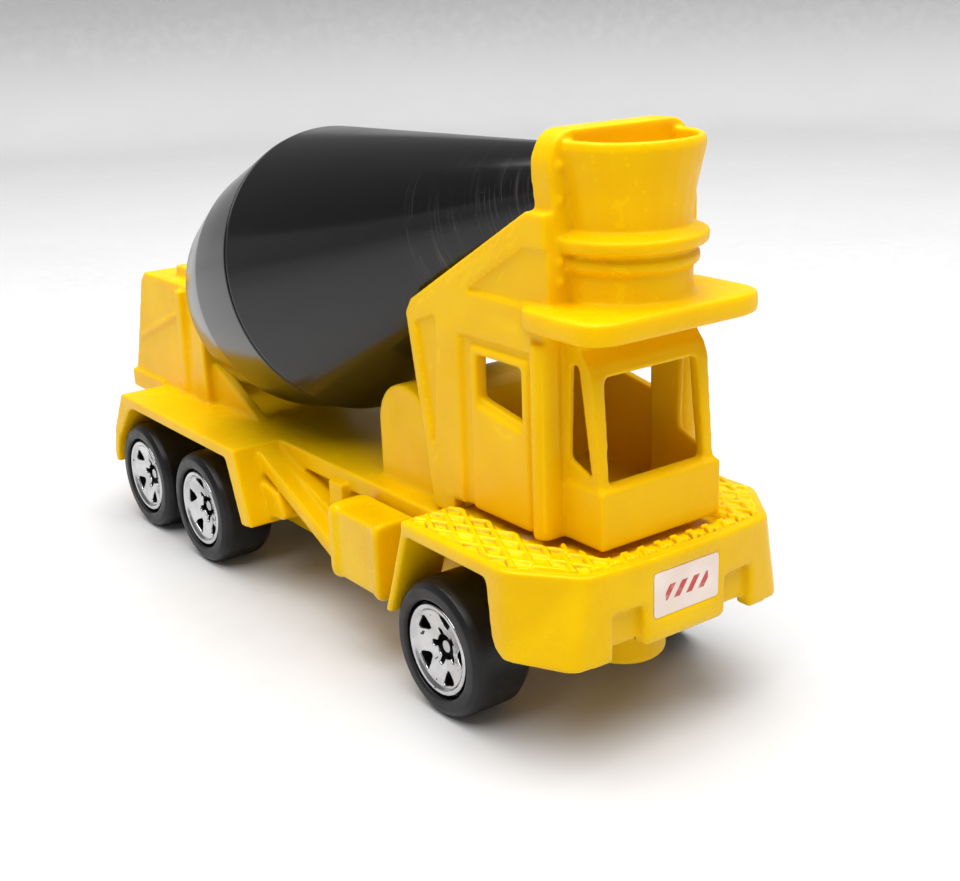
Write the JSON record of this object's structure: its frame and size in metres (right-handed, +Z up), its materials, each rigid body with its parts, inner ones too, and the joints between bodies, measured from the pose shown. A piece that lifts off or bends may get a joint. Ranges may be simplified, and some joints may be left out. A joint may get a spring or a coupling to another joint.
{
  "type": "toy cement mixer truck",
  "caption": "Toy front-discharge cement mixer truck with a turning drum, free-rolling wheels on wire axles, an open cab and a painted cast base.",
  "frame": {"origin": "middle of the length and width, on the surface the wheels stand on", "axes": "+Z up, -Y towards the bumper, -X the truck's right side"},
  "size_m": [0.0266, 0.0812, 0.0459],
  "materials": {
    "yellow_paint": "gloss enamel over zinc",
    "yellow_plastic": "semi-gloss moulded plastic",
    "black_plastic": "satin moulded plastic",
    "drum_plastic": "satin moulded plastic, scuffed",
    "bright_foil": "bright hot-stamped foil",
    "steel_wire": "drawn wire",
    "label_paper": "printed paper"
  },
  "bodies": {
    "root": {"chassis_base": "yellow_paint", "cab_body": "yellow_plastic", "mixer_bed": "yellow_plastic", "front_label": "label_paper", "front_post": "yellow_plastic", "rivet_front": "steel_wire", "rivet_rear": "steel_wire", "axle_front": "steel_wire", "axle_middle": "steel_wire", "axle_rear": "steel_wire"},
    "drum": {"drum_cone": "drum_plastic", "drum_rear": "drum_plastic"},
    "wheel_front_left_body": {"wheel_front_left": "black_plastic", "wheel_face_front_left": "bright_foil"},
    "wheel_front_right_body": {"wheel_front_right": "black_plastic", "wheel_face_front_right": "bright_foil"},
    "wheel_middle_left_body": {"wheel_middle_left": "black_plastic", "wheel_face_middle_left": "bright_foil"},
    "wheel_middle_right_body": {"wheel_middle_right": "black_plastic", "wheel_face_middle_right": "bright_foil"},
    "wheel_rear_left_body": {"wheel_rear_left": "black_plastic", "wheel_face_rear_left": "bright_foil"},
    "wheel_rear_right_body": {"wheel_rear_right": "black_plastic", "wheel_face_rear_right": "bright_foil"}
  },
  "joints": [
    {"name": "drum_spin", "type": "hinge", "parent": "root", "child": "drum", "pos_m": [0, 0.00365, 0.03025], "axis": [0, -0.9542, 0.299], "continuous": true},
    {"name": "wheel_front_left_roll", "type": "hinge", "parent": "root", "child": "wheel_front_left_body", "pos_m": [0.01, -0.02545, 0.0057], "axis": [1, 0, 0], "continuous": true},
    {"name": "wheel_front_right_roll", "type": "hinge", "parent": "root", "child": "wheel_front_right_body", "pos_m": [-0.01, -0.02545, 0.0057], "axis": [1, 0, 0], "continuous": true},
    {"name": "wheel_middle_left_roll", "type": "hinge", "parent": "root", "child": "wheel_middle_left_body", "pos_m": [0.01, 0.01605, 0.0057], "axis": [1, 0, 0], "continuous": true},
    {"name": "wheel_middle_right_roll", "type": "hinge", "parent": "root", "child": "wheel_middle_right_body", "pos_m": [-0.01, 0.01605, 0.0057], "axis": [1, 0, 0], "continuous": true},
    {"name": "wheel_rear_left_roll", "type": "hinge", "parent": "root", "child": "wheel_rear_left_body", "pos_m": [0.01, 0.02905, 0.0057], "axis": [1, 0, 0], "continuous": true},
    {"name": "wheel_rear_right_roll", "type": "hinge", "parent": "root", "child": "wheel_rear_right_body", "pos_m": [-0.01, 0.02905, 0.0057], "axis": [1, 0, 0], "continuous": true}
  ]
}
